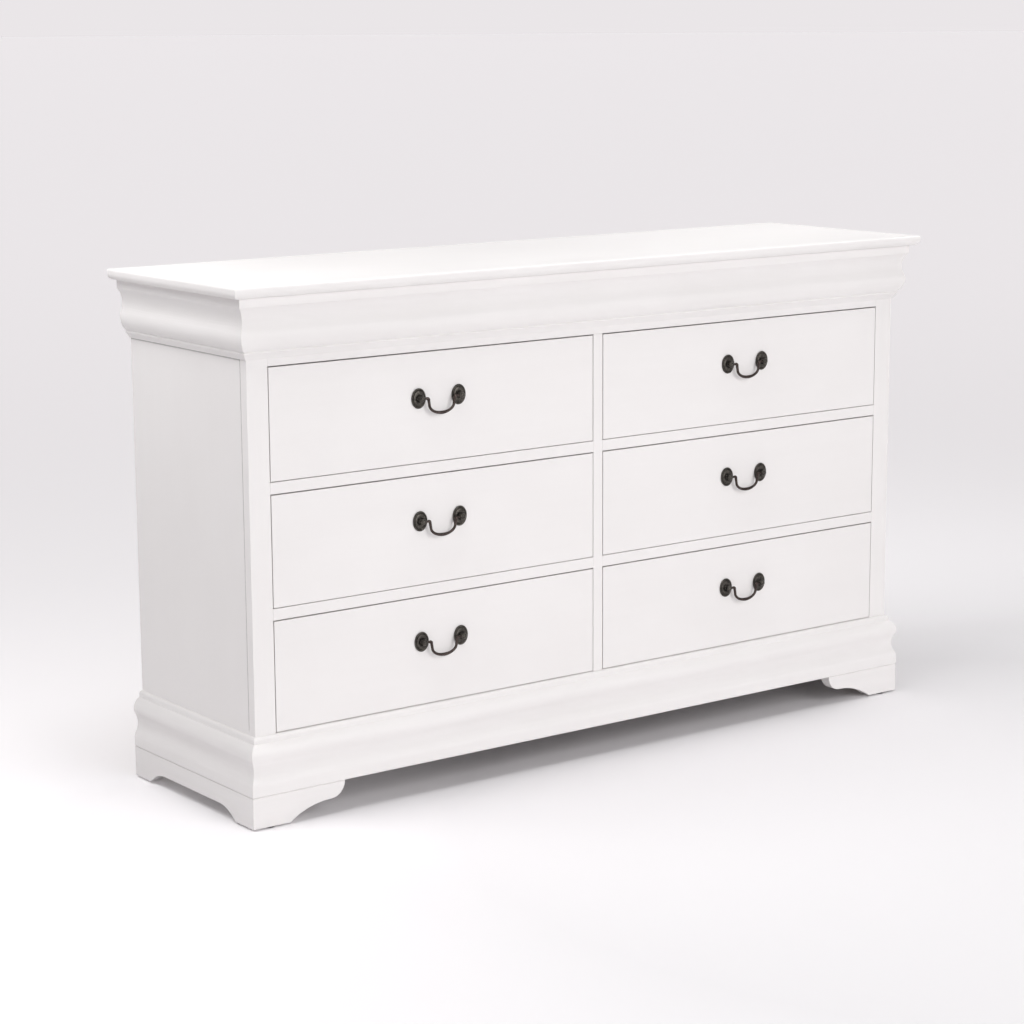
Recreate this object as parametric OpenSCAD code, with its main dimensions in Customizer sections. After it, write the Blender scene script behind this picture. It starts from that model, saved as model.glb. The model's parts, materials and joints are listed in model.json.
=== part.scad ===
/* [Overall] */
// Width across the top
top_w = 1474; // [1220:1:1780]
// Depth of the top, front to back
top_d = 412; // [340:1:500]
// Height from the floor to the face of the top
total_h = 874; // [720:1:1060]

/* [Top] */
// Thickness of the top
top_t = 18; // [15:1:25]
// How far the top reaches past the case at each side
top_side_over = 38; // [30:1:50]
// How far the top reaches past the front frame
top_front_over = 36; // [30:1:50]
// How far the top reaches past the back
top_back_over = 2; // [0:1:10]
// Radius of the upper edge of the top
top_edge_r = 3.5; // [1:0.5:4]
// Radius of the quarter round under the edge of the top
top_under_r = 10; // [6:0.5:10.5]

/* [Front frame] */
// Thickness of the stiles and rails
frame_t = 18; // [15:1:24]
// Width of the two outer stiles
stile_w = 39; // [30:1:60]
// Width of the stile between the two columns of drawers
centre_stile_w = 20; // [18:1:40]
// Height of the rails between the drawers
rail_h = 19; // [15:1:30]
// Height of the top rail that shows under the cornice
top_rail_show = 12.5; // [6:0.5:30]

/* [Case] */
// Thickness of the side panels
side_t = 16; // [12:1:20]
// Thickness of the partition between the columns of drawers
partition_t = 16; // [12:1:18]
// Thickness of the back panel
back_t = 4; // [3:0.5:8]
// How deep the back panel lies in from the inner face of a side panel
back_rabbet = 8; // [4:1:10]
// Thickness of the bottom panel
bottom_t = 12; // [9:1:18]
// Height of the upper rail across the back
back_rail_h = 60; // [40:1:80]
// Thickness of the rails across the back
back_rail_t = 16; // [12:1:20]
// Width and height of the cleats that hold the top
cleat = 20; // [15:1:30]

/* [Cornice] */
// Height of the cornice under the top
cornice_h = 99; // [96:1:120]
// How far the lip at its foot stands out
cornice_lip = 8.6; // [7:0.1:10]
// How far the round stands out
cornice_round = 18.3; // [16:0.1:20]
// How far the upper band stands out
cornice_band = 22; // [18:0.1:24]

/* [Base moulding] */
// Height of the moulding round the base
base_h = 95.5; // [92:0.5:110]
// How far the two rounds of the moulding stand out
base_out = 17.5; // [15:0.1:20]
// How far the lip of the moulding lies below the top of the rail behind it
base_step = 0.2; // [0:0.1:3]

/* [Plinth] */
// Height of the feet and plinth boards
plinth_h = 52; // [42:1:62]
// How far the plinth stands out from the case
plinth_out = 17; // [14:0.5:20]
// How far the plinth boards reach in under the case
plinth_under = 5; // [4:1:10]
// Width of a front foot, from the corner to the end of its scroll
foot_w = 175; // [140:1:220]
// Length of a front foot that stands on the floor
foot_toe = 69; // [50:1:80]
// Radius of the round at the end of the scroll
foot_round_r = 27; // [20:1:32]
// Length of the side plinth that stands on the floor at the front
side_toe_front = 58; // [48:1:80]
// Length of the side plinth that stands on the floor at the back
side_toe_back = 52; // [42:1:80]
// Rise of the arch in the side plinth
arch_h = 19.5; // [12:0.5:28]
// Length of each rounded shoulder of the arch
arch_shoulder = 50; // [30:1:60]
// Width of a back foot
back_foot_w = 100; // [80:1:160]
// Height of the glides under the feet
glide_h = 3; // [2:0.5:6]
// Radius of a glide
glide_r = 9; // [6:0.5:9]

/* [Drawers] */
// Gap between a drawer front and the frame at each side
front_side_gap = 1.5; // [1:0.1:3]
// Gap under a drawer front
front_under_gap = 1.3; // [1:0.1:3]
// Gap over a drawer front
front_over_gap = 2; // [1:0.1:4]
// Thickness of a drawer front
front_t = 19; // [15:0.5:23]
// Thickness of the sides and back of a drawer box
box_t = 12; // [10:1:15]
// Space over a drawer box in its opening
box_over = 35.2; // [20:0.1:60]
// Gap between a drawer box and the sides of its opening
box_gap = 2; // [1:0.1:4]
// Running gap between a drawer box and its runners
run_gap = 0.3; // [0.2:0.1:1]
// Space behind a closed drawer box
back_space = 15; // [10:1:40]
// Thickness of a drawer bottom
floor_t = 4; // [3:0.5:6]
// Height of the drawer bottom above the lower edge of the box
floor_up = 10; // [6:1:14]
// Depth of the groove that holds a drawer bottom
groove_d = 5; // [3:0.5:6]
// Play of a drawer bottom in its groove
groove_play = 0.2; // [0.1:0.1:0.5]
// Width of the runner ledge that carries a drawer box
runner_w = 20; // [14:1:30]
// Height of the guide beside a drawer box
guide_h = 20; // [10:1:30]

/* [Pulls] */
// Height of a pull above the middle of its drawer front
pull_above = 16; // [0:1:20]
// Distance between the two posts of a pull
pull_spacing = 80; // [64:1:128]
// Width of a rosette
rosette_w = 28; // [24:1:30]
// Height of a rosette
rosette_h = 34; // [32:1:44]
// Distance from the drawer front to the axis of the bail
pivot_out = 10; // [9:0.5:14]
// Radius of the ball at the end of a post
ball_r = 5.2; // [4.5:0.1:6]
// Radius of the stem of a post
stem_r = 2.6; // [2:0.1:4]
// Radius of the threaded shank of a post
shank_r = 2; // [1.5:0.1:3]
// Play of a shank in its hole
shank_play = 0.25; // [0.1:0.05:0.5]
// Radius of the pins of the bail
pin_r = 2; // [1.5:0.05:2.5]
// Play of a pin in its post
pin_play = 0.08; // [0.05:0.01:0.1]
// Radius of the wire of the bail
wire_r = 2.15; // [1.8:0.05:2.6]
// Radius of the bail at the middle of the grip
grip_r = 2.75; // [2.2:0.05:3.5]
// Distance from the axis of the bail down to its grip
bail_drop = 25.5; // [22:0.5:36]
// Distance from the middle of a post to the knuckle of the bail beside it
post_to_knuckle = 14; // [12:0.5:18]
// Radius of the two lower bends of the bail
bend_r = 10; // [6:0.5:12]

/* [Hidden] */
$fn = 64;
rows = 3;
row_names = ["bottom", "middle", "top"];
side_names = ["left", "right"];

case_half = top_w / 2 - top_side_over;
front_y = top_front_over - top_d / 2;
back_y = top_d / 2 - top_back_over;
frame_back = front_y + frame_t;
back_front = back_y - back_t;
case_top = total_h - top_t;
base_z = glide_h + plinth_h;
inner_half = case_half - side_t;

open_z = base_z + base_h + base_step;
open_top = case_top - cornice_h - top_rail_show;
open_h = (open_top - open_z - (rows - 1) * rail_h) / rows;
open_in = centre_stile_w / 2;
open_out = case_half - stile_w;

front_h = open_h - front_under_gap - front_over_gap;
box_h = open_h - run_gap - box_over;
box_back = back_front - back_space;
box_in = open_in + box_gap;
box_out = open_out - box_gap;
pull_x = (open_in + open_out) / 2;
plinth_t = plinth_out + plinth_under;
plinth_half = case_half + plinth_out;
plinth_front = front_y - plinth_out;
plinth_inner = plinth_half - plinth_t;

arc_steps = 10;
mitre_reach = 60;
v_joint = 1.2;
block_size = 45;
block_up = 22;
stop_w = 12;
stop_h = 15;
nut_h = 3.2;
nut_r = 2 * shank_r;
washer_h = 1;
washer_r = 3 * shank_r;
shank_past = 7;
knuckle_x = pull_spacing / 2 - post_to_knuckle;
knuckle_r = wire_r + 0.35;
arm_lean = 1.5;
arm_foot_x = knuckle_x - arm_lean;
pin_wall = 1.7;
pin_end_play = 0.4;
pin_in = ball_r - pin_wall;

// z of the lower edge of a row's opening, counted from the bottom row
function row_z(row) = open_z + row * (open_h + rail_h);
BACK_RAILS = [[base_z + bottom_t, open_z - rail_h], [case_top - back_rail_h, case_top]];
function drawer_name(row, side) = str(row_names[row], "_", side_names[side]);
function arc(centre, r, from, to) = [
    for (i = [0:arc_steps])
        let (a = from + (to - from) * i / arc_steps)
            centre + r * [cos(a), sin(a)]
];
// Radius of a hollow that touches a round of radius r, when its waist lies a further
// out than the round's centre and d above or below it
function touching_r(a, d, r) = (a * a + d * d - r * r) / (2 * (r - a));
// Radius of an arc that rises by h over a length l and ends level
function rise_r(l, h) = (l * l + h * h) / (2 * h);

DRAWER_PIECES = ["drawer_front_", "drawer_box_", "drawer_bottom_", "pull_mounts_", "pull_bail_"];

// A board given by its lower and upper limits along each axis
module board(x, y, z) {
    translate([x[0], y[0], z[0]])
        cube([x[1] - x[0], y[1] - y[0], z[1] - z[0]]);
}

// Draws the right-hand shape, or its mirror image for side 0
module on_side(side) {
    mirror([side == 0 ? 1 : 0, 0, 0])
        children();
}

// Runs an outline of (distance out, height) along the front
module along_front(half) {
    translate([-half, 0, 0])
        mirror([0, 1, 0])
            rotate([90, 0, 90])
                linear_extrude(2 * half)
                    children();
}

// Runs an outline of (distance out, height) along the right side
module along_side(y) {
    translate([0, y[1], 0])
        rotate([90, 0, 0])
            linear_extrude(y[1] - y[0])
                children();
}

// Plan of what lies in front of the case, between the two mitres
module front_plan(inset) {
    half = case_half - inset;
    reach = mitre_reach + inset;
    polygon([
        [-half, front_y + inset], [half, front_y + inset],
        [half + reach, front_y + inset - reach], [-half - reach, front_y + inset - reach]
    ]);
}

// Plan of what lies beside the case, behind the right-hand mitre
module side_plan(inset) {
    half = case_half - inset;
    reach = mitre_reach + inset;
    polygon([
        [half, front_y + inset], [half + reach, front_y + inset - reach],
        [half + reach, back_y], [half, back_y]
    ]);
}

module front_moulding(z) {
    intersection() {
        translate([0, front_y, z])
            along_front(case_half + mitre_reach)
                children();
        linear_extrude(total_h)
            front_plan(0);
    }
}

module side_moulding(z) {
    intersection() {
        translate([case_half, 0, z])
            along_side([front_y - mitre_reach, back_y])
                children();
        linear_extrude(total_h)
            side_plan(0);
    }
}

// Right-hand edge of the top, from its under face to its upper face
function top_edge(half) = concat(
    arc([half - top_under_r, top_under_r], top_under_r, -90, 0),
    arc([half - top_edge_r, top_t - top_edge_r], top_edge_r, 0, 90)
);
function mirrored(points) = [for (i = [len(points) - 1:-1:0]) [-points[i][0], points[i][1]]];

module top_panel() {
    color("white")
        translate([0, 0, case_top])
            intersection() {
                along_front(top_w / 2)
                    polygon(concat([[-top_d / 2, 0]], top_edge(top_d / 2), [[-top_d / 2, top_t]]));
                along_side([-top_d / 2, top_d / 2])
                    polygon(concat(top_edge(top_w / 2), mirrored(top_edge(top_w / 2))));
            }
}

// The cornice: an undercut lip, a large round, a hollow and an upright band
module cornice_outline() {
    lip_foot = 1.2;
    lip_v = [10.2, 12.2];
    round_r = 30;
    round_v = 36;
    round_start_v = 13;
    waist = cornice_round - 5;
    waist_v = 61;
    round_c = [cornice_round - round_r, round_v];
    hollow_r = touching_r(waist - round_c[0], waist_v - round_v, round_r);
    hollow_c = [waist + hollow_r, waist_v];
    meet = atan2(waist_v - round_v, hollow_c[0] - round_c[0]);
    band_a = acos((cornice_band - hollow_c[0]) / hollow_r);
    polygon(concat(
        [[0, 0], [lip_foot, 0], [cornice_lip, lip_v[0]], [cornice_lip, lip_v[1]]],
        arc(round_c, round_r, asin((round_start_v - round_v) / round_r), meet),
        arc(hollow_c, hollow_r, 180 + meet, band_a),
        [[cornice_band, cornice_h], [0, cornice_h]]
    ));
}

module cornice_front() {
    color("white")
        front_moulding(case_top - cornice_h)
            cornice_outline();
}

module cornice_side(side) {
    color("white")
        on_side(side)
            side_moulding(case_top - cornice_h)
                cornice_outline();
}

// The base moulding: a rounded lip and two equal rounds with a hollow between them
module base_outline() {
    lip_r = 6;
    round_r = 20;
    round_v = base_h - 29;
    waist = base_out - 7;
    low_v = 15;
    waist_v = (round_v + low_v) / 2;
    round_c = [base_out - round_r, round_v];
    low_c = [base_out - round_r, low_v];
    hollow_r = touching_r(waist - round_c[0], round_v - waist_v, round_r);
    hollow_c = [waist + hollow_r, waist_v];
    meet = atan2(round_v - waist_v, hollow_c[0] - round_c[0]);
    polygon(concat(
        [[0, 0], [base_out - v_joint, 0], [base_out, v_joint]],
        arc(low_c, round_r, 0, meet),
        arc(hollow_c, hollow_r, 180 + meet, 180 - meet),
        arc(round_c, round_r, -meet, acos((lip_r - round_c[0]) / round_r)),
        arc([0, base_h - lip_r], lip_r, 0, 90)
    ));
}

module base_moulding_front() {
    color("white")
        front_moulding(base_z)
            base_outline();
}

module base_moulding_side(side) {
    color("white")
        on_side(side)
            side_moulding(base_z)
                base_outline();
}

module face_stile(side) {
    color("white")
        on_side(side)
            board([open_out, case_half], [front_y, frame_back], [base_z, case_top]);
}

module face_stile_centre() {
    color("white")
        board([-open_in, open_in], [front_y, frame_back], [open_z, open_top]);
}

module top_rail() {
    color("white")
        board([-open_out, open_out], [front_y, frame_back], [open_top, case_top]);
}

module bottom_rail() {
    color("white")
        board([-open_out, open_out], [front_y, frame_back], [base_z, open_z]);
}

module middle_rails() {
    color("white")
        for (side = [0, 1], row = [1:rows - 1])
            on_side(side)
                board([open_in, open_out], [front_y, frame_back], [row_z(row) - rail_h, row_z(row)]);
}

module side_panel(side) {
    color("white")
        on_side(side)
            difference() {
                board([inner_half, case_half], [frame_back, back_y], [base_z, case_top]);
                board([inner_half - 1, inner_half + back_rabbet], [back_front, back_y + 1], [0, total_h]);
            }
}

module back_panel() {
    half = inner_half + back_rabbet;
    color("burlywood")
        board([-half, half], [back_front, back_y], [base_z, case_top]);
}

// The lower back rail fills the height between the bottom panel and the runners
module back_rails() {
    color("burlywood")
        for (z = BACK_RAILS)
            board([-inner_half, inner_half], [back_front - back_rail_t, back_front], z);
}

// The partition is notched round the two back rails
module centre_partition() {
    half = partition_t / 2;
    color("burlywood")
        difference() {
            board([-half, half], [frame_back, back_front], [base_z + bottom_t, case_top]);
            for (z = BACK_RAILS)
                board([-half - 1, half + 1], [back_front - back_rail_t, back_y], z);
        }
}

module bottom_panel() {
    color("burlywood")
        board([-inner_half, inner_half], [frame_back, back_front], [base_z, base_z + bottom_t]);
}

module top_cleats() {
    color("burlywood")
        for (side = [0, 1])
            on_side(side)
                board([inner_half - cleat, inner_half], [frame_back, back_front - back_rail_t],
                      [case_top - cleat, case_top]);
}

// Section of a plinth board, with the upper outer edge eased for the joint above it
module plinth_section() {
    polygon([
        [-plinth_t, glide_h], [0, glide_h], [0, base_z - v_joint], [-v_joint, base_z], [-plinth_t, base_z]
    ]);
}

// A front foot seen from the front, with its scroll towards the middle of the case
module foot_outline() {
    round_x = foot_w - foot_round_r;
    sweep_h = plinth_h - foot_round_r;
    sweep_r = rise_r(round_x - foot_toe, sweep_h);
    sweep_a = asin((round_x - foot_toe) / sweep_r);
    polygon(concat(
        [[0, base_z], [0, glide_h]],
        arc([round_x, glide_h + sweep_h - sweep_r], sweep_r, 90 + sweep_a, 90),
        arc([round_x, base_z], foot_round_r, -90, 0)
    ));
}

module foot_front(side) {
    color("white")
        on_side(side)
            intersection() {
                translate([0, plinth_front, 0])
                    along_front(plinth_half)
                        plinth_section();
                linear_extrude(total_h)
                    front_plan(plinth_t);
                translate([plinth_half, front_y + plinth_t, 0])
                    rotate([90, 0, 0])
                        mirror([1, 0, 0])
                            linear_extrude(mitre_reach)
                                foot_outline();
            }
}

// The hollow under a side plinth board, as (distance from the front corner, height)
module arch_outline() {
    length = back_y - plinth_front - side_toe_front - side_toe_back;
    shoulder_r = rise_r(arch_shoulder, arch_h);
    shoulder_a = asin(arch_shoulder / shoulder_r);
    centre_z = glide_h + arch_h - shoulder_r;
    translate([side_toe_front, 0])
        polygon(concat(
            [[0, -1]],
            arc([arch_shoulder, centre_z], shoulder_r, 90 + shoulder_a, 90),
            arc([length - arch_shoulder, centre_z], shoulder_r, 90, 90 - shoulder_a),
            [[length, -1]]
        ));
}

module plinth_side(side) {
    color("white")
        on_side(side)
            difference() {
                intersection() {
                    translate([plinth_half, 0, 0])
                        along_side([plinth_front, back_y])
                            plinth_section();
                    linear_extrude(total_h)
                        side_plan(plinth_t);
                }
                translate([plinth_inner - 1, plinth_front, 0])
                    rotate([90, 0, 90])
                        linear_extrude(plinth_t + 2)
                            arch_outline();
            }
}

module back_feet() {
    color("burlywood")
        for (side = [0, 1])
            on_side(side)
                board([plinth_inner - back_foot_w, plinth_inner], [back_y - plinth_t, back_y],
                      [glide_h, base_z]);
}

// Three-cornered glue blocks behind the four corners of the plinth
module corner_blocks() {
    color("burlywood")
        for (side = [0, 1], back = [0, 1])
            on_side(side) {
                y = back == 1 ? back_y - plinth_t : plinth_front + plinth_t;
                translate([plinth_inner, y, glide_h + block_up])
                    mirror([0, back, 0])
                        linear_extrude(plinth_h - block_up)
                            polygon([[0, 0], [-block_size, 0], [0, block_size]]);
            }
}

module foot_glides() {
    color("dimgray")
        for (side = [0, 1])
            on_side(side) {
                translate([plinth_half - foot_toe / 2, plinth_front + plinth_t / 2, 0])
                    cylinder(r = glide_r, h = glide_h);
                translate([plinth_inner - back_foot_w / 3, back_y - plinth_t / 2, 0])
                    cylinder(r = glide_r, h = glide_h);
            }
}

// L-shaped runners on the side panels: a ledge under the box and a guide beside it
module outer_runners() {
    color("burlywood")
        for (side = [0, 1], row = [0:rows - 1])
            on_side(side) {
                y = [frame_back, back_front];
                z = row_z(row);
                union() {
                    board([box_out - runner_w, inner_half], y, [z - rail_h, z]);
                    board([open_out, inner_half], y, [z - rail_h, z + guide_h]);
                }
            }
}

module centre_runners() {
    color("burlywood")
        for (side = [0, 1], row = [0:rows - 1])
            on_side(side)
                board([partition_t / 2, box_in + runner_w], [frame_back, back_front],
                      [row_z(row) - rail_h, row_z(row)]);
}

// Blocks on the runners that a drawer box meets when its front is flush with the frame
module drawer_stops() {
    color("burlywood")
        for (side = [0, 1], row = [0:rows - 1], x = [box_in, box_out - stop_w])
            on_side(side)
                board([x, x + stop_w], [box_back + run_gap, back_front], [row_z(row), row_z(row) + stop_h]);
}

module place_pull(row, side) {
    z = row_z(row) + front_under_gap + front_h / 2 + pull_above;
    translate([(side == 0 ? -1 : 1) * pull_x, front_y, z])
        children();
}

// Groove for the drawer bottom, through the box sides and into the front
module bottom_groove(row) {
    z = row_z(row) + run_gap + floor_up;
    x = [box_in + box_t - groove_d, box_out - box_t + groove_d];
    board(x, [front_y + front_t - groove_d, box_back + 1], [z, z + floor_t + groove_play]);
}

module drawer_front(row, side) {
    z = row_z(row) + front_under_gap;
    color("white")
        difference() {
            on_side(side)
                difference() {
                    board([open_in + front_side_gap, open_out - front_side_gap], [front_y, front_y + front_t],
                          [z, z + front_h]);
                    bottom_groove(row);
                }
            place_pull(row, side)
                for (x = [-1, 1])
                    translate([x * pull_spacing / 2, front_t + 1, 0])
                        rotate([90, 0, 0])
                            cylinder(r = shank_r + shank_play, h = front_t + 2);
        }
}

// Two sides and a back, the back standing on the drawer bottom
module drawer_box(row, side) {
    z = row_z(row) + run_gap;
    y = [front_y + front_t, box_back];
    color("burlywood")
        on_side(side) {
            for (x = [box_in, box_out - box_t])
                difference() {
                    board([x, x + box_t], y, [z, z + box_h]);
                    bottom_groove(row);
                }
            board([box_in + box_t, box_out - box_t], [box_back - box_t, box_back],
                  [z + floor_up + floor_t, z + box_h]);
        }
}

module drawer_bottom(row, side) {
    z = row_z(row) + run_gap + floor_up;
    reach = groove_d - groove_play;
    color("tan")
        on_side(side)
            board([box_in + box_t - reach, box_out - box_t + reach], [front_y + front_t - reach, box_back],
                  [z, z + floor_t]);
}

// Half section of a rosette, as (distance from its middle, height): a rolled rim,
// a shallow dome and a sunk middle round the stem
module rosette_section() {
    rim_r = 1.5;
    rim_x = rosette_w / 2 - rim_r;
    dome_x = 6.6;
    dome_h = 4;
    sunk_x = 5;
    sunk_h = 2;
    polygon(concat(
        [[0, 0], [rim_x, 0]],
        arc([rim_x, rim_r], rim_r, -90, 130),
        [[rim_x - 2, 2.2], [dome_x + 1.6, dome_h - 0.3], [dome_x, dome_h], [sunk_x, sunk_h], [0, sunk_h]]
    ));
}

// An oval made of two half rounds and a straight stretch, drawn flat with its face up
module rosette() {
    straight = rosette_h - rosette_w;
    for (up = [0, 1])
        mirror([0, up, 0])
            translate([0, straight / 2, 0])
                rotate_extrude(angle = 180)
                    rosette_section();
    rotate([90, 0, 0])
        linear_extrude(straight, center = true) {
            rosette_section();
            mirror([1, 0])
                rosette_section();
        }
}

// A rosette, a stem, a ball with a blind bore for the bail's pin, and a threaded shank
module pull_post() {
    bore_start = -ball_r - 1;
    rotate([90, 0, 0])
        difference() {
            union() {
                rosette();
                cylinder(r = stem_r, h = pivot_out);
                translate([0, 0, pivot_out])
                    sphere(r = ball_r);
                translate([0, 0, -front_t - shank_past])
                    cylinder(r = shank_r, h = front_t + shank_past + 1);
            }
            translate([bore_start, 0, pivot_out])
                rotate([0, 90, 0])
                    cylinder(r = pin_r + pin_play, h = pin_in + pin_end_play - bore_start);
        }
}

// The washer and nut on a shank, inside the drawer
module pull_nut() {
    translate([0, front_t, 0])
        rotate([-90, 0, 0])
            difference() {
                union() {
                    cylinder(r = washer_r, h = washer_h);
                    cylinder(r = nut_r, h = washer_h + nut_h, $fn = 6);
                }
                translate([0, 0, -1])
                    cylinder(r = shank_r + pin_play, h = washer_h + nut_h + 2);
            }
}

module pull_mounts(row, side) {
    color("#2b2622")
        place_pull(row, side)
            for (x = [0, 1])
                on_side(x)
                    translate([pull_spacing / 2, 0, 0]) {
                        pull_post();
                        pull_nut();
                    }
}

// A pin, a knuckle, an arm and a lower bend, for the right half of a bail
module bail_half() {
    bend_z = bend_r - bail_drop;
    rotate([0, 90, 0])
        translate([0, 0, knuckle_x])
            cylinder(r = pin_r, h = pull_spacing / 2 + pin_in - knuckle_x);
    translate([knuckle_x, 0, 0])
        sphere(r = knuckle_r);
    translate([knuckle_x, 0, 0])
        rotate([0, atan2(-arm_lean, bend_z), 0])
            cylinder(r = wire_r, h = norm([arm_lean, bend_z]));
    translate([arm_foot_x, 0, bend_z])
        sphere(r = wire_r);
    translate([arm_foot_x - bend_r, 0, bend_z])
        rotate([-90, 0, 0])
            rotate_extrude(angle = 90)
                translate([bend_r, 0])
                    circle(r = wire_r);
}

// The grip swells from the wire's radius at its ends to grip_r at its middle
module bail_grip() {
    half = arm_foot_x - bend_r;
    swell_r = rise_r(half, grip_r - wire_r);
    swell_a = asin(half / swell_r);
    translate([0, 0, -bail_drop])
        rotate([0, 90, 0])
            rotate_extrude()
                polygon(concat(
                    [[0, half], [0, -half]],
                    arc([grip_r - swell_r, 0], swell_r, -swell_a, swell_a)
                ));
}

module pull_bail(row, side) {
    color("#2b2622")
        place_pull(row, side)
            translate([0, -pivot_out, 0]) {
                for (x = [0, 1])
                    on_side(x)
                        bail_half();
                bail_grip();
            }
}

top_panel();
cornice_front();
cornice_side(0);  // cornice_left
cornice_side(1);  // cornice_right
face_stile(0);  // face_stile_left
face_stile(1);  // face_stile_right
face_stile_centre();
top_rail();
middle_rails();
bottom_rail();
side_panel(0);  // side_panel_left
side_panel(1);  // side_panel_right
back_panel();
centre_partition();
bottom_panel();
back_rails();
top_cleats();
base_moulding_front();
base_moulding_side(0);  // base_moulding_left
base_moulding_side(1);  // base_moulding_right
foot_front(0);  // foot_front_left
foot_front(1);  // foot_front_right
plinth_side(0);  // plinth_side_left
plinth_side(1);  // plinth_side_right
back_feet();
corner_blocks();
foot_glides();
outer_runners();
centre_runners();
drawer_stops();
for (row = [0:rows - 1], side = [0, 1]) {
    drawer_front(row, side);
    drawer_box(row, side);
    drawer_bottom(row, side);
    pull_mounts(row, side);
    pull_bail(row, side);
}
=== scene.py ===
import json
import math

import bmesh
import bpy
from mathutils import Matrix, Vector


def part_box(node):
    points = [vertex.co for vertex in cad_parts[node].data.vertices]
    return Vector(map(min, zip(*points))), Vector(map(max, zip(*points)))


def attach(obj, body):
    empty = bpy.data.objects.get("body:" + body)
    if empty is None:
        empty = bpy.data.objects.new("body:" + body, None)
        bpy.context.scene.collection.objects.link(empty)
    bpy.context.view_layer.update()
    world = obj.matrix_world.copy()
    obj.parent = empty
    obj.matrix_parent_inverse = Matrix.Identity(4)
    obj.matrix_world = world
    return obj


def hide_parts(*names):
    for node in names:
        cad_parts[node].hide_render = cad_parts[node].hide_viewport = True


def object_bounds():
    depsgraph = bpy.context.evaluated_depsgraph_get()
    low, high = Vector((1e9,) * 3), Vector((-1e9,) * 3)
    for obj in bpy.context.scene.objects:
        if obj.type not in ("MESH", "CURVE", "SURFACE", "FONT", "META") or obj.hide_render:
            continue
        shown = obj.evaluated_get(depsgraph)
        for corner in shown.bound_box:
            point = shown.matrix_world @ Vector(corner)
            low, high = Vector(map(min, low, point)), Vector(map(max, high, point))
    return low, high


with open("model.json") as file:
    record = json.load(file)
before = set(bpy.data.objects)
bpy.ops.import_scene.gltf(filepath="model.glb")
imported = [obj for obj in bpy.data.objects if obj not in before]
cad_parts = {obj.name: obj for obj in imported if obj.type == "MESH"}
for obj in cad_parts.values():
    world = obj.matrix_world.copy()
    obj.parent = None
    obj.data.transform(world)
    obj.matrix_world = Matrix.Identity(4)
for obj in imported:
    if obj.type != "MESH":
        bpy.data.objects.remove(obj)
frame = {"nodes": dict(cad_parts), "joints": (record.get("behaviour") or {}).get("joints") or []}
cad_low, cad_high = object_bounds()

MM = 0.001
BASE_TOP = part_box("base_moulding_left")[1].z
DRAWERS = [row + "_" + side for row in ("bottom", "middle", "top") for side in ("left", "right")]


# ---------------------------------------------------------------- node trees

def add(tree, kind, inputs=None, **settings):
    """A new shader node of a kind, with its settings and its inputs, which are values or links."""
    node = tree.nodes.new("ShaderNode" + kind)
    for name, value in settings.items():
        setattr(node, name, value)
    for key, value in (inputs or {}).items():
        if isinstance(value, bpy.types.NodeSocket):
            tree.links.new(value, node.inputs[key])
        else:
            node.inputs[key].default_value = value
    return node


def object_places(tree):
    """Places in the part's frame, in metres."""
    return add(tree, "TexCoord").outputs["Object"]


def noise(tree, places, scale, detail=3.0, roughness=0.55, distortion=0.0):
    """Cloudy noise from 0 to 1 at the given places."""
    node = add(tree, "TexNoise", {
        "Vector": places, "Scale": scale, "Detail": detail,
        "Roughness": roughness, "Distortion": distortion,
    })
    return node.outputs["Fac"]


def spread(tree, value, low, high, to_low=0.0, to_high=1.0):
    """Smoothly carries low..high to to_low..to_high."""
    node = add(tree, "MapRange", {0: value, 1: low, 2: high, 3: to_low, 4: to_high},
               interpolation_type="SMOOTHSTEP")
    return node.outputs[0]


def combine(tree, operation, a, b):
    """One step of arithmetic on two values."""
    return add(tree, "Math", {0: a, 1: b}, operation=operation).outputs[0]


def opaque(colour, share=1.0):
    """A colour darkened to a share of itself, with full alpha."""
    return (*[share * c for c in colour], 1)


def blend_colours(tree, share, a, b):
    """Colour a where the share is 0, colour b where it is 1."""
    node = add(tree, "Mix", {0: share, 6: a, 7: b}, data_type="RGBA", clamp_factor=True)
    return node.outputs[2]


def stretched(tree, axis, along, across):
    """Places in the part's frame, scaled so that a pattern runs long along one axis. Scales are in 1/m.
    The axis "level" is x on faces to the front or back, and y on the others."""
    if axis == "level":
        normal = add(tree, "TexCoord").outputs["Normal"]
        facing = combine(tree, "ABSOLUTE", add(tree, "SeparateXYZ", {0: normal}).outputs["Y"], 0.0)
        picked = add(tree, "Mix", {
            0: combine(tree, "GREATER_THAN", facing, 0.5),
            4: stretched(tree, "y", along, across), 5: stretched(tree, "x", along, across),
        }, data_type="VECTOR")
        return picked.outputs[1]
    scale = [across, across, across]
    scale["xyz".index(axis)] = along
    return add(tree, "Mapping", {"Vector": object_places(tree), "Scale": scale}).outputs[0]


def edges(tree, radius, start, full):
    """From 0 on flat stretches to 1 on edges and in corners."""
    rounded = add(tree, "Bevel", {"Radius": radius}, samples=6).outputs[0]
    straight = add(tree, "NewGeometry").outputs["Normal"]
    agree = add(tree, "VectorMath", {0: rounded, 1: straight}, operation="DOT_PRODUCT").outputs["Value"]
    return spread(tree, agree, start, full)


def crevices(tree, reach):
    """From 0 on open faces to 1 down in a groove or a tight corner, by ambient occlusion; it masks painted
    shade.
    """
    opening = add(tree, "AmbientOcclusion", {"Distance": reach}, samples=6).outputs["AO"]
    return spread(tree, opening, 0.66, 0.96, 1.0, 0.0)


def shader_of(name):
    """A new material, its node tree and its Principled shader."""
    material = bpy.data.materials.new(name)
    material.use_nodes = True
    tree = material.node_tree
    return material, tree, tree.nodes["Principled BSDF"]


def join_bump(tree, shader, height, distance):
    """Small unevenness of a shader's surface, where a height of 1 is the distance in metres."""
    bump = add(tree, "Bump", {"Height": height, "Distance": distance, "Strength": 1.0})
    tree.links.new(bump.outputs[0], shader.inputs["Normal"])
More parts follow.
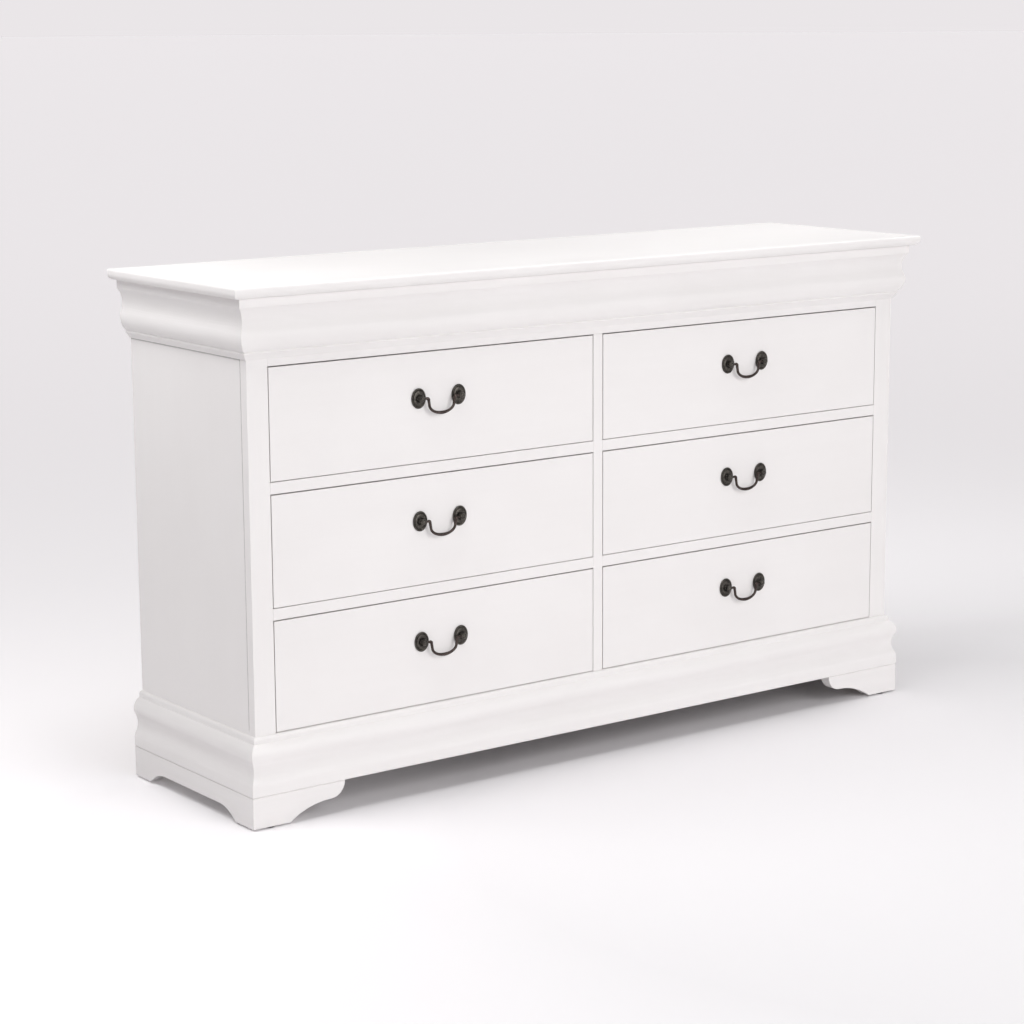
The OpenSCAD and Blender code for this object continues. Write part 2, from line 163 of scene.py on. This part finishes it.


# ----------------------------------------------------------------- materials

# Painted shade darkens grooves this narrow, and only well above the base moulding
PAINTED_SHADE_REACH = 4 * MM
PAINTED_SHADE_START = BASE_TOP + 3 * MM
PAINTED_SHADE_FULL = BASE_TOP + 10 * MM


def painted_wood(name, axis, streak, crevice_shade=0.0):
    """Satin white paint over wood. axis is the way of the grain, streak how much of it shows, and the last
    argument how dark the painted shade in the grooves above the base is."""
    material, tree, shader = shader_of(name)
    broad = noise(tree, stretched(tree, axis, 3, 60), 1.0, 4, 0.6, 0.3)
    fine = noise(tree, stretched(tree, axis, 12, 420), 1.0, 3, 0.6)
    cloud = noise(tree, stretched(tree, axis, 4, 6), 1.0, 2)
    peel = noise(tree, stretched(tree, axis, 900, 900), 1.0, 2)
    grain = combine(tree, "MULTIPLY", combine(tree, "SUBTRACT", broad, 0.5), streak)
    tone = combine(tree, "ADD", grain, spread(tree, cloud, 0.2, 0.8, 0.35, 0.65))
    paint = blend_colours(tree, tone, (0.80, 0.777, 0.768, 1), (0.87, 0.850, 0.844, 1))
    worn = combine(tree, "MULTIPLY", edges(tree, 1.6 * MM, 0.985, 0.80),
                   spread(tree, noise(tree, stretched(tree, axis, 40, 160), 1.0, 4), 0.35, 0.75, 0.15, 0.7))
    paint = blend_colours(tree, worn, paint, (0.70, 0.665, 0.63, 1))
    # Painted shade: grooves and tight corners above the base, found by ambient occlusion, are darkened
    # towards near black.
    if crevice_shade:
        level = add(tree, "SeparateXYZ", {0: object_places(tree)}).outputs["Z"]
        above = spread(tree, level, PAINTED_SHADE_START, PAINTED_SHADE_FULL)
        groove = crevices(tree, PAINTED_SHADE_REACH)
        painted_shade = combine(tree, "MULTIPLY", groove, combine(tree, "MULTIPLY", above, crevice_shade))
        paint = blend_colours(tree, painted_shade, paint, (0.055, 0.045, 0.04, 1))
    tree.links.new(paint, shader.inputs["Base Color"])
    rough = spread(tree, cloud, 0.2, 0.8, 0.36, 0.46)
    tree.links.new(combine(tree, "ADD", rough, combine(tree, "MULTIPLY", worn, 0.12)),
                   shader.inputs["Roughness"])
    pores = combine(tree, "MULTIPLY", spread(tree, fine, 0.35, 0.6), 0.5 + streak)
    height = combine(tree, "ADD", pores, combine(tree, "MULTIPLY", broad, 2 * streak))
    join_bump(tree, shader, combine(tree, "ADD", height, combine(tree, "MULTIPLY", peel, 0.35)), 0.03 * MM)
    return material


def bare_wood(name, axis, light, dark, rings=26):
    """Unpainted wood with its grain along an axis. rings is how many growth rings cross a metre."""
    material, tree, shader = shader_of(name)
    warp = noise(tree, stretched(tree, axis, 1.2, 7), 1.0, 3)
    places = stretched(tree, axis, 0.9, rings)
    shifted = add(tree, "VectorMath", {0: places, 1: warp}, operation="ADD").outputs[0]
    figure = noise(tree, shifted, 1.0, 5, 0.65, 1.2)
    pores = noise(tree, stretched(tree, axis, 30, 900), 1.0, 2)
    tone = spread(tree, figure, 0.3, 0.72)
    wood = blend_colours(tree, tone, opaque(light), opaque(dark))
    wood = blend_colours(tree, spread(tree, pores, 0.62, 0.8, 0, 0.35), wood, opaque(dark, 0.55))
    used = combine(tree, "MULTIPLY", edges(tree, 1.2 * MM, 0.98, 0.8), 0.45)
    wood = blend_colours(tree, used, wood, opaque(dark, 0.7))
    tree.links.new(wood, shader.inputs["Base Color"])
    tree.links.new(spread(tree, pores, 0.3, 0.7, 0.58, 0.74), shader.inputs["Roughness"])
    sunk = combine(tree, "MULTIPLY", pores, -0.7)
    height = combine(tree, "ADD", sunk, combine(tree, "MULTIPLY", figure, 0.6))
    join_bump(tree, shader, height, 0.08 * MM)
    return material


def fibre_board(name, light, dark):
    """Hardboard: pressed fibres, smooth and slightly shiny."""
    material, tree, shader = shader_of(name)
    fibres = noise(tree, stretched(tree, "x", 260, 700), 1.0, 4, 0.7, 1.5)
    cloud = noise(tree, stretched(tree, "x", 5, 9), 1.0, 3)
    threads = combine(tree, "MULTIPLY", fibres, 0.6)
    tone = combine(tree, "ADD", threads, combine(tree, "MULTIPLY", cloud, 0.5))
    board = blend_colours(tree, tone, opaque(dark), opaque(light))
    tree.links.new(board, shader.inputs["Base Color"])
    tree.links.new(spread(tree, fibres, 0.3, 0.7, 0.42, 0.6), shader.inputs["Roughness"])
    join_bump(tree, shader, fibres, 0.05 * MM)
    return material


def bronze(name, light, dark):
    """Cast metal with a mottled patina, rubbed paler on its high edges."""
    material, tree, shader = shader_of(name)
    places = object_places(tree)
    mottle = noise(tree, places, 700, 4, 0.65)
    cloud = noise(tree, places, 160, 3)
    cast = noise(tree, places, 1500, 3)
    spots = combine(tree, "MULTIPLY", mottle, 0.8)
    tone = combine(tree, "ADD", spots, combine(tree, "MULTIPLY", cloud, 0.5))
    patina = blend_colours(tree, spread(tree, tone, 0.45, 0.9), opaque(dark), opaque(light))
    rubbed = combine(tree, "MULTIPLY", edges(tree, 0.7 * MM, 0.97, 0.78), spread(tree, mottle, 0.4, 0.65))
    patina = blend_colours(tree, combine(tree, "MULTIPLY", rubbed, 0.55), patina, (0.24, 0.19, 0.14, 1))
    tree.links.new(patina, shader.inputs["Base Color"])
    shader.inputs["Metallic"].default_value = 0.9
    tree.links.new(spread(tree, mottle, 0.3, 0.7, 0.27, 0.45), shader.inputs["Roughness"])
    join_bump(tree, shader, combine(tree, "ADD", cast, combine(tree, "MULTIPLY", mottle, 1.2)), 0.12 * MM)
    return material


def zinc(name):
    """Plated washers, nuts and threads."""
    material, tree, shader = shader_of(name)
    places = object_places(tree)
    spots = noise(tree, places, 900, 3)
    metal = blend_colours(tree, spots, (0.42, 0.42, 0.40, 1), (0.66, 0.65, 0.60, 1))
    tree.links.new(metal, shader.inputs["Base Color"])
    shader.inputs["Metallic"].default_value = 1.0
    tree.links.new(spread(tree, spots, 0.3, 0.7, 0.26, 0.42), shader.inputs["Roughness"])
    join_bump(tree, shader, noise(tree, places, 2200, 2), 0.02 * MM)
    return material


def moulded_plastic(name):
    """Dark grey glides, scuffed underneath."""
    material, tree, shader = shader_of(name)
    places = object_places(tree)
    scuffs = noise(tree, places, 500, 4, 0.7)
    scuffed = spread(tree, scuffs, 0.4, 0.7)
    tone = blend_colours(tree, scuffed, (0.035, 0.034, 0.034, 1), (0.085, 0.083, 0.08, 1))
    tree.links.new(tone, shader.inputs["Base Color"])
    tree.links.new(spread(tree, scuffs, 0.3, 0.7, 0.42, 0.62), shader.inputs["Roughness"])
    join_bump(tree, shader, scuffs, 0.04 * MM)
    return material


# Light and dark colour of each bare wood
BIRCH = ((0.62, 0.45, 0.28), (0.47, 0.30, 0.165))
PINE = ((0.66, 0.49, 0.29), (0.50, 0.31, 0.15))
PLY = ((0.60, 0.43, 0.26), (0.44, 0.27, 0.145))

FINISHES = {
    "paint_x": painted_wood("paint_along_x", "x", 0.25),
    "paint_z": painted_wood("paint_along_z", "z", 0.25),
    # The side panels' paint carries full painted shade in its grooves and corners, so the seam behind the
    # stile shows dark.
    "panel_z": painted_wood("panel_paint_along_z", "z", 0.15, 1.0),
    "moulding_x": painted_wood("moulding_paint_along_x", "x", 0.8),
    "moulding_y": painted_wood("moulding_paint_along_y", "y", 0.8),
    "pine_x": bare_wood("pine_along_x", "x", *PINE),
    "pine_y": bare_wood("pine_along_y", "y", *PINE),
    "pine_z": bare_wood("pine_along_z", "z", *PINE),
    "birch": bare_wood("birch_boards", "level", *BIRCH, rings=34),
    "ply_x": bare_wood("ply_along_x", "x", *PLY, rings=18),
    "hardboard": fibre_board("pressed_fibres", (0.36, 0.225, 0.13), (0.20, 0.115, 0.062)),
    "grey_board": fibre_board("grey_backed_board", (0.33, 0.305, 0.30), (0.21, 0.19, 0.185)),
    "rosette_bronze": bronze("dark_patina_bronze", (0.125, 0.115, 0.10), (0.033, 0.030, 0.028)),
    "bail_bronze": bronze("brown_patina_bronze", (0.105, 0.082, 0.074), (0.030, 0.022, 0.020)),
    "zinc": zinc("plated_steel"),
    "plastic": moulded_plastic("scuffed_plastic"),
}

NODE_FINISHES = {
    "top_panel": "paint_x",
    "cornice_front": "moulding_x", "cornice_left": "moulding_y", "cornice_right": "moulding_y",
    "face_stile_left": "paint_z", "face_stile_right": "paint_z", "face_stile_centre": "paint_z",
    "top_rail": "paint_x", "middle_rails": "paint_x", "bottom_rail": "paint_x",
    "side_panel_left": "panel_z", "side_panel_right": "panel_z",
    "base_moulding_front": "moulding_x",
    "base_moulding_left": "moulding_y", "base_moulding_right": "moulding_y",
    "foot_front_left": "moulding_x", "foot_front_right": "moulding_x",
    "plinth_side_left": "moulding_y", "plinth_side_right": "moulding_y",
    "back_panel": "hardboard", "centre_partition": "pine_y", "bottom_panel": "grey_board",
    "back_rails": "pine_x", "top_cleats": "pine_x", "back_feet": "pine_x",
    "corner_blocks": "pine_z", "foot_glides": "plastic",
    "outer_runners": "pine_y", "centre_runners": "pine_y", "drawer_stops": "pine_y",
}
for drawer in DRAWERS:
    NODE_FINISHES["drawer_front_" + drawer] = "paint_x"
    NODE_FINISHES["drawer_box_" + drawer] = "birch"
    NODE_FINISHES["drawer_bottom_" + drawer] = "ply_x"


# -------------------------------------------------------- eased CAD surfaces

# Faces that meet at more than this angle meet at a real corner
CORNER = math.radians(26)
# Points nearer than this are one point, and faces this near to flat are one face
WELD = 0.005 * MM
FLAT = math.radians(0.5)
# Width of the eased corners. The side panels' are wider, so that the seam behind the stile shows
EASED = 0.6 * MM
PANEL_EASED = 1.8 * MM


def smoothing_group():
    """Geometry nodes that join a mesh's split points and keep only its real corners sharp."""
    group = bpy.data.node_groups.new("smooth_between_corners", "GeometryNodeTree")
    group.interface.new_socket("Geometry", in_out="INPUT", socket_type="NodeSocketGeometry")
    group.interface.new_socket("Geometry", in_out="OUTPUT", socket_type="NodeSocketGeometry")
    enter = group.nodes.new("NodeGroupInput")
    leave = group.nodes.new("NodeGroupOutput")
    merge = group.nodes.new("GeometryNodeMergeByDistance")
    merge.inputs["Distance"].default_value = WELD
    angle = group.nodes.new("GeometryNodeInputMeshEdgeAngle")
    corner = group.nodes.new("ShaderNodeMath")
    corner.operation = "GREATER_THAN"
    corner.inputs[1].default_value = CORNER
    normal = group.nodes.new("GeometryNodeSetMeshNormal")
    normal.inputs["Remove Custom"].default_value = True
    group.links.new(enter.outputs[0], merge.inputs[0])
    group.links.new(merge.outputs[0], normal.inputs["Mesh"])
    group.links.new(angle.outputs["Unsigned Angle"], corner.inputs[0])
    group.links.new(corner.outputs[0], normal.inputs["Edge Sharpness"])
    group.links.new(normal.outputs["Mesh"], leave.inputs[0])
    return group


SMOOTHING = smoothing_group()


def ease(name, width):
    """Rounds a CAD node's corners by a width in metres, and gives it its finish."""
    node = frame["nodes"][name]
    node.data.materials[0] = FINISHES[NODE_FINISHES[name]]
    node.modifiers.new("smooth", "NODES").node_group = SMOOTHING
    flat = node.modifiers.new("flat", "DECIMATE")
    flat.decimate_type = "DISSOLVE"
    flat.angle_limit = FLAT
    bevel = node.modifiers.new("eased", "BEVEL")
    bevel.width = width
    bevel.segments = 3
    bevel.limit_method = "ANGLE"
    bevel.angle_limit = CORNER
    bevel.harden_normals = True


for name in NODE_FINISHES:
    ease(name, PANEL_EASED if name.startswith("side_panel") else EASED)


# --------------------------------------------------------------------- pulls

# Oval plate of a post
ROSETTE_W = 28 * MM
ROSETTE_H = 34 * MM
RIM_R = 1.5 * MM
# Stem and ball of a post, with the bail's pin at the middle of the ball
PIVOT_OUT = 10 * MM
BALL_R = 5.2 * MM
STEM_R = 2.6 * MM
# Radii of the bail's wire along its pin, its arms and the middle of its grip
PIN_R = 2.0 * MM
WIRE_R = 2.3 * MM
GRIP_R = 2.8 * MM
# The bail hangs this far under its pins, and its lower part is half an ellipse this high
BAIL_DROP = 25.5 * MM
GRIP_DEPTH = 14 * MM
# Each knuckle lies this far in from its post, and the arms lean in under it
KNUCKLE_IN = 14 * MM
KNUCKLE_BEND = 3.2 * MM
ARM_LEAN = 1.5 * MM
# The wire thickens round a point this far out from and under the knuckle
SWELL_OFF = 0.9 * MM
SWELL = 0.5 * MM
SWELL_REACH = 2.4 * MM
# Wall of the ball beyond the pin's end
PIN_WALL = 2.1 * MM
# Thickness of the drawer front in the CAD, and what holds the post inside it
FRONT_T = 19 * MM
SHANK_R = 2.0 * MM
SHANK_PAST = 7 * MM
THREAD_PITCH = 0.7 * MM
WASHER_R = 6 * MM
WASHER_HOLE_R = 2 * MM
WASHER_T = 1 * MM
NUT_R = 4 * MM
NUT_T = 3.2 * MM
CHAMFER = 0.4 * MM
# Pull faces that meet at more than this angle meet at an edge
PULL_EDGE = math.radians(38)


def mesh_piece(name, parts, material):
    """One object from parts, each a list of points and a list of faces."""
    points, faces = [], []
    for part_points, part_faces in parts:
        start = len(points)
        points.extend(part_points)
        faces.extend([[start + i for i in face] for face in part_faces])
    mesh = bpy.data.meshes.new(name)
    mesh.from_pydata([tuple(p) for p in points], [], faces)
    work = bmesh.new()
    work.from_mesh(mesh)
    bmesh.ops.recalc_face_normals(work, faces=work.faces)
    work.to_mesh(mesh)
    work.free()
    mesh.shade_smooth()
    mesh.set_sharp_from_angle(angle=PULL_EDGE)
    mesh.materials.append(material)
    piece = bpy.data.objects.new(name, mesh)
    bpy.context.scene.collection.objects.link(piece)
    return piece


def rings_to_part(rings):
    """Points and faces of a skin over closed rings of equal length, capped at both ends."""
    count = len(rings[0])
    points = [p for ring in rings for p in ring]
    faces = []
    for k in range(len(rings) - 1):
        for i in range(count):
            j = (i + 1) % count
            faces.append([k * count + i, k * count + j, (k + 1) * count + j, (k + 1) * count + i])
    faces.append(list(range(count))[::-1])
    faces.append([(len(rings) - 1) * count + i for i in range(count)])
    return points, faces


def turns(count):
    """Angles of equal steps once round, in radians."""
    return [2 * math.pi * i / count for i in range(count)]


def oval_ring(at, radius, stretch, out, count):
    """A ring in front of the drawer front and parallel to it, stretched upwards and downwards."""
    height = radius + stretch
    return [at + Vector((radius * math.cos(a), -out, height * math.sin(a))) for a in turns(count)]


def arc_points(centre, radius, start, end, steps):
    """(x, y) points on an arc, angles in degrees."""
    points = []
    for i in range(steps + 1):
        a = math.radians(start + (end - start) * i / steps)
        points.append((centre[0] + radius * math.cos(a), centre[1] + radius * math.sin(a)))
    return points


def rosette_part(at):
    """Oval plate: rolled rim, groove, dome and a sunk middle. It turns from round to oval outwards."""
    rim_x = ROSETTE_W / 2 - RIM_R
    round_x = 4 * MM
    oval_over = 9 * MM
    stretch = (ROSETTE_H - ROSETTE_W) / 2
    rim = [(rim_x, 0)] + arc_points((rim_x, RIM_R), RIM_R, -90, 140, 14)
    groove = [(rim_x - 1.9 * MM, 1.7 * MM), (rim_x - 2.6 * MM, 1.9 * MM)]
    dome = arc_points((7.2 * MM, -4.6 * MM), 8.4 * MM, 66, 98, 10)
    middle = [(5.6 * MM, 3.3 * MM), (5.0 * MM, 2.5 * MM), (4.4 * MM, 2.1 * MM), (3.4 * MM, 2.0 * MM)]
    rings = []
    for x, out in rim + groove + dome + middle:
        share = min(1.0, max(0.0, (x - round_x) / oval_over))
        rings.append(oval_ring(at, x, stretch * share, out, 96))
    return rings_to_part(rings)


def turned_part(at, section, count=40):
    """A round body on the axis out of the drawer front, from (radius, out) points."""
    return rings_to_part([oval_ring(at, x, 0, out, count) for x, out in section])


def stem_section():
    """Stem with a collar at its foot and a neck that widens into the ball."""
    collar = [(3.9 * MM, 1.9 * MM), (3.9 * MM, 2.5 * MM), (3.5 * MM, 3.0 * MM)]
    stem = [(STEM_R, 3.4 * MM), (STEM_R, 4.6 * MM)]
    ball = arc_points((0, PIVOT_OUT), BALL_R, -58, 89, 26)
    return collar + stem + ball


def boss_part(at, side):
    """A short ring round the bail's pin, where it enters the ball, on the side of the grip."""
    distance_and_radius = [(3.6, 3.1), (4.9, 3.1), (5.3, 2.9), (5.45, 2.5), (5.45, 2.15)]
    rings = []
    for x, radius in distance_and_radius:
        centre = at + Vector((-side * x * MM, -PIVOT_OUT, 0))
        rings.append([centre + Vector((0, radius * MM * math.cos(a), radius * MM * math.sin(a)))
                      for a in turns(32)])
    return rings_to_part(rings)


def thread_section(start, end, radius, pitch):
    """(radius, out) points of a thread's ridges between two distances out."""
    tip_r = radius * 0.5
    root_r = radius * 0.86
    section = [(tip_r, start), (radius, start + CHAMFER)]
    out = start + CHAMFER
    while out + pitch < end - CHAMFER:
        section += [(root_r, out + pitch / 2), (radius, out + pitch)]
        out += pitch
    return section + [(radius, end), (tip_r, end)]


def washer_section(start, end):
    """(radius, out) points of a washer between two distances out."""
    return [(WASHER_HOLE_R, start), (WASHER_R, start), (WASHER_R, end), (WASHER_HOLE_R, end)]


def nut_part(at, start, end, radius):
    """A six-sided nut with chamfered corners round the shank."""
    end_r = 0.93 * radius
    section = [(end_r, start), (radius, start - CHAMFER), (radius, end + CHAMFER), (end_r, end)]
    return turned_part(at, section, 6)


def tube_part(path, radii, count=24):
    """A tube along a path in the plane of x and z."""
    sideways = Vector((0, 1, 0))
    rings = []
    for i, (x, y, z) in enumerate(path):
        before = Vector(path[max(i - 1, 0)])
        after = Vector(path[min(i + 1, len(path) - 1)])
        ahead = (after - before).normalized()
        across = Vector((-ahead.z, 0, ahead.x))
        rings.append([Vector((x, y, z)) + radii[i] * (across * math.cos(a) + sideways * math.sin(a))
                      for a in turns(count)])
    return rings_to_part(rings)


def bail_path(half_spacing):
    """(x, z) points of the right half of a bail from its grip's middle to its pin's end."""
    knuckle_x = half_spacing - KNUCKLE_IN
    foot_x = knuckle_x - ARM_LEAN
    grip = []
    for x, z in arc_points((0, 0), 1.0, -90, -4, 36):
        grip.append((foot_x * x, GRIP_DEPTH * (1 + z) - BAIL_DROP))
    centre = (knuckle_x + KNUCKLE_BEND, -KNUCKLE_BEND)
    upper = arc_points(centre, KNUCKLE_BEND, 184, 90, 12)
    pin_end = half_spacing + BALL_R - PIN_WALL
    pin = [(centre[0] + (pin_end - centre[0]) * i / 6, 0) for i in range(1, 7)]
    return grip + upper + pin


def bail_radius(x, z, half_spacing):
    """The wire's radius: swollen at the grip and at the knuckle, slimmer at the pin."""
    grip_end = half_spacing - KNUCKLE_IN - 2 * KNUCKLE_BEND - ARM_LEAN
    if z < -GRIP_DEPTH and abs(x) <= grip_end:
        return WIRE_R + (GRIP_R - WIRE_R) * math.cos(math.pi / 2 * x / grip_end) ** 2
    away = Vector((abs(x) - (half_spacing - KNUCKLE_IN + SWELL_OFF), z + SWELL_OFF)).length
    swell = SWELL * math.exp(-(away / SWELL_REACH) ** 2)
    if abs(x) > half_spacing - KNUCKLE_IN + KNUCKLE_BEND:
        return PIN_R + swell
    return WIRE_R + swell


def frame_joint(name):
    """The frame's joint of a name."""
    return [joint for joint in frame["joints"] if joint["name"] == name][0]


def build_pull(drawer):
    """The two posts, their nuts and the bail of a drawer's pull."""
    low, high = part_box("pull_mounts_" + drawer)
    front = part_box("drawer_front_" + drawer)[0].y
    pivot = Vector(frame_joint("swing_" + drawer)["pos_m"])
    centre = Vector((pivot.x, front, pivot.z))
    half_spacing = (high.x - low.x - ROSETTE_W) / 2
    body = "drawer_" + drawer
    for side, word in [(-1, "left"), (1, "right")]:
        at = centre + Vector((side * half_spacing, 0, 0))
        parts = [rosette_part(at), turned_part(at, stem_section()), boss_part(at, side)]
        post = mesh_piece("pull_post_" + word + "_" + drawer, parts, FINISHES["rosette_bronze"])
        washer_back = -FRONT_T - WASHER_T
        parts = [
            turned_part(at, thread_section(-FRONT_T - SHANK_PAST, 0, SHANK_R, THREAD_PITCH), 24),
            turned_part(at, washer_section(washer_back, -FRONT_T)),
            nut_part(at, washer_back, washer_back - NUT_T, NUT_R),
        ]
        nut = mesh_piece("pull_nut_" + word + "_" + drawer, parts, FINISHES["zinc"])
        for piece in (post, nut):
            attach(piece, body)
            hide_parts("pull_mounts_" + drawer)
    half = bail_path(half_spacing)
    both = [(-x, z) for x, z in half[:0:-1]] + half
    path = [pivot + Vector((x, 0, z)) for x, z in both]
    radii = [bail_radius(x, z, half_spacing) for x, z in both]
    bail = mesh_piece("bail_" + drawer, [tube_part(path, radii)], FINISHES["bail_bronze"])
    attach(bail, "bail_" + drawer)
    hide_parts("pull_bail_" + drawer)


for drawer in DRAWERS:
    build_pull(drawer)


# --------------------------------------------------------------------- stage

BACKDROP = (0.80, 0.77, 0.785, 1)
PALE_FLOOR = (0.885, 0.868, 0.882, 1)
DIM_CEILING = (0.1, 0.1, 0.1, 1)
BLACK = (0, 0, 0, 1)
# Radius of the floor, so far that its edge lies on the horizon
STAGE_R = 150
# Brightness of the backdrop's glow on the far floor, and of the world
GLOW = 0.8
WORLD = 1.03
# The photograph's camera: place, then azimuth, elevation and roll in degrees, then focal length in mm
CAMERA_AT = (-2.7471, -3.6279, 1.2870)
CAMERA_ANGLES = (-36.53, 10.93, -0.33)
CAMERA_LENS = 91.08


def stage_disc(name, z):
    """A flat disc under everything, for the render only."""
    mesh = bpy.data.meshes.new(name)
    ring = [(STAGE_R * math.cos(a), STAGE_R * math.sin(a), z) for a in turns(96)]
    mesh.from_pydata(ring, [], [list(range(len(ring)))])
    disc = bpy.data.objects.new(name, mesh)
    bpy.context.scene.collection.objects.link(disc)
    return disc


def build_floor():
    """A pale matt floor at the dresser's feet."""
    floor = stage_disc("floor", cad_low.z)
    material, _, shader = shader_of("studio_floor")
    shader.inputs["Base Color"].default_value = PALE_FLOOR
    shader.inputs["Roughness"].default_value = 0.8
    shader.inputs["Specular IOR Level"].default_value = 0.1
    floor.data.materials.append(material)


def build_backdrop():
    """The glow of the lit backdrop over the far floor. It shows, but gives the dresser no light."""
    glow_centre = (0.4, -0.9, 0)
    glow_start = 1.0
    glow_reach = 1.9
    backdrop = stage_disc("backdrop", cad_low.z + MM)
    backdrop.visible_diffuse = False
    backdrop.visible_shadow = False
    material, tree, shader = shader_of("backdrop_glow")
    material.cycles.emission_sampling = "NONE"
    places = object_places(tree)
    away = add(tree, "VectorMath", {0: places, 1: glow_centre}, operation="DISTANCE").outputs["Value"]
    beyond = combine(tree, "MAXIMUM", combine(tree, "SUBTRACT", away, glow_start), 0.0)
    left = combine(tree, "POWER", math.e, combine(tree, "DIVIDE", beyond, -glow_reach))
    colour = blend_colours(tree, left, BACKDROP, BLACK)
    glow = add(tree, "Emission", {"Color": colour, "Strength": GLOW})
    clear = add(tree, "BsdfTransparent")
    both = add(tree, "AddShader", {0: glow.outputs[0], 1: clear.outputs[0]})
    tree.links.new(both.outputs[0], tree.nodes["Material Output"].inputs["Surface"])
    tree.nodes.remove(shader)
    backdrop.data.materials.append(material)


def area_light(name, at, aim, size, power):
    """A soft box of a size in metres and a power in watts that faces a point. Only its light shows."""
    data = bpy.data.lights.new(name, "AREA")
    data.shape = "RECTANGLE"
    data.size, data.size_y = size
    data.energy = power
    light = bpy.data.objects.new(name, data)
    light.location = at
    light.rotation_euler = (Vector(aim) - Vector(at)).to_track_quat("-Z", "Y").to_euler()
    light.visible_camera = False
    bpy.context.scene.collection.objects.link(light)


def build_lights():
    """Soft boxes: two before the front, one high overhead, two over the left end, one over the right."""
    area_light("front_low", (0, -4.2, 1.0), (0, 0, 0.45), (2.5, 1.2), 34)
    area_light("front_high", (0.4, -3.4, 2.2), (0, 0, 0.45), (2.0, 1.4), 39.5)
    area_light("overhead", (0, -0.6, 3.6), (0, -0.6, 0), (3.0, 1.5), 32)
    area_light("over_left_high", (-1.5, -0.5, 2.5), (-0.8, 0, 0.5), (0.9, 0.9), 11.5)
    area_light("over_left_end", (-1.45, 0.3, 1.8), (-0.8, 0.1, 0.5), (0.7, 0.9), 12.5)
    area_light("over_right", (1.1, 0.2, 2.0), (0.8, 0, 0.5), (1.6, 1.4), 13.5)


def build_world():
    """A pale backdrop all round, up to some way above eye level, and a dim ceiling."""
    world = bpy.data.worlds.new("studio")
    world.use_nodes = True
    tree = world.node_tree
    ahead = add(tree, "TexCoord").outputs["Generated"]
    height = add(tree, "SeparateXYZ", {0: ahead}).outputs["Z"]
    tone = blend_colours(tree, spread(tree, height, 0.15, 0.4), BACKDROP, DIM_CEILING)
    tree.links.new(tone, tree.nodes["Background"].inputs["Color"])
    tree.nodes["Background"].inputs["Strength"].default_value = WORLD
    bpy.context.scene.world = world


def build_camera():
    """The camera at the dresser's front left, a little above its top."""
    azimuth, elevation, roll = (math.radians(a) for a in CAMERA_ANGLES)
    back = Vector((
        math.sin(azimuth) * math.cos(elevation),
        -math.cos(azimuth) * math.cos(elevation),
        math.sin(elevation),
    ))
    right = Vector((math.cos(azimuth), math.sin(azimuth), 0))
    up = back.cross(right)
    across = math.cos(roll) * right + math.sin(roll) * up
    upward = -math.sin(roll) * right + math.cos(roll) * up
    data = bpy.data.cameras.new("camera")
    data.lens = CAMERA_LENS
    data.sensor_width = 36
    camera = bpy.data.objects.new("camera", data)
    turned = Matrix((across, upward, back)).transposed().to_4x4()
    camera.matrix_world = Matrix.Translation(CAMERA_AT) @ turned
    bpy.context.scene.collection.objects.link(camera)
    bpy.context.scene.camera = camera


build_floor()
build_backdrop()
build_lights()
build_world()
build_camera()
bpy.context.scene.view_settings.view_transform = "Standard"
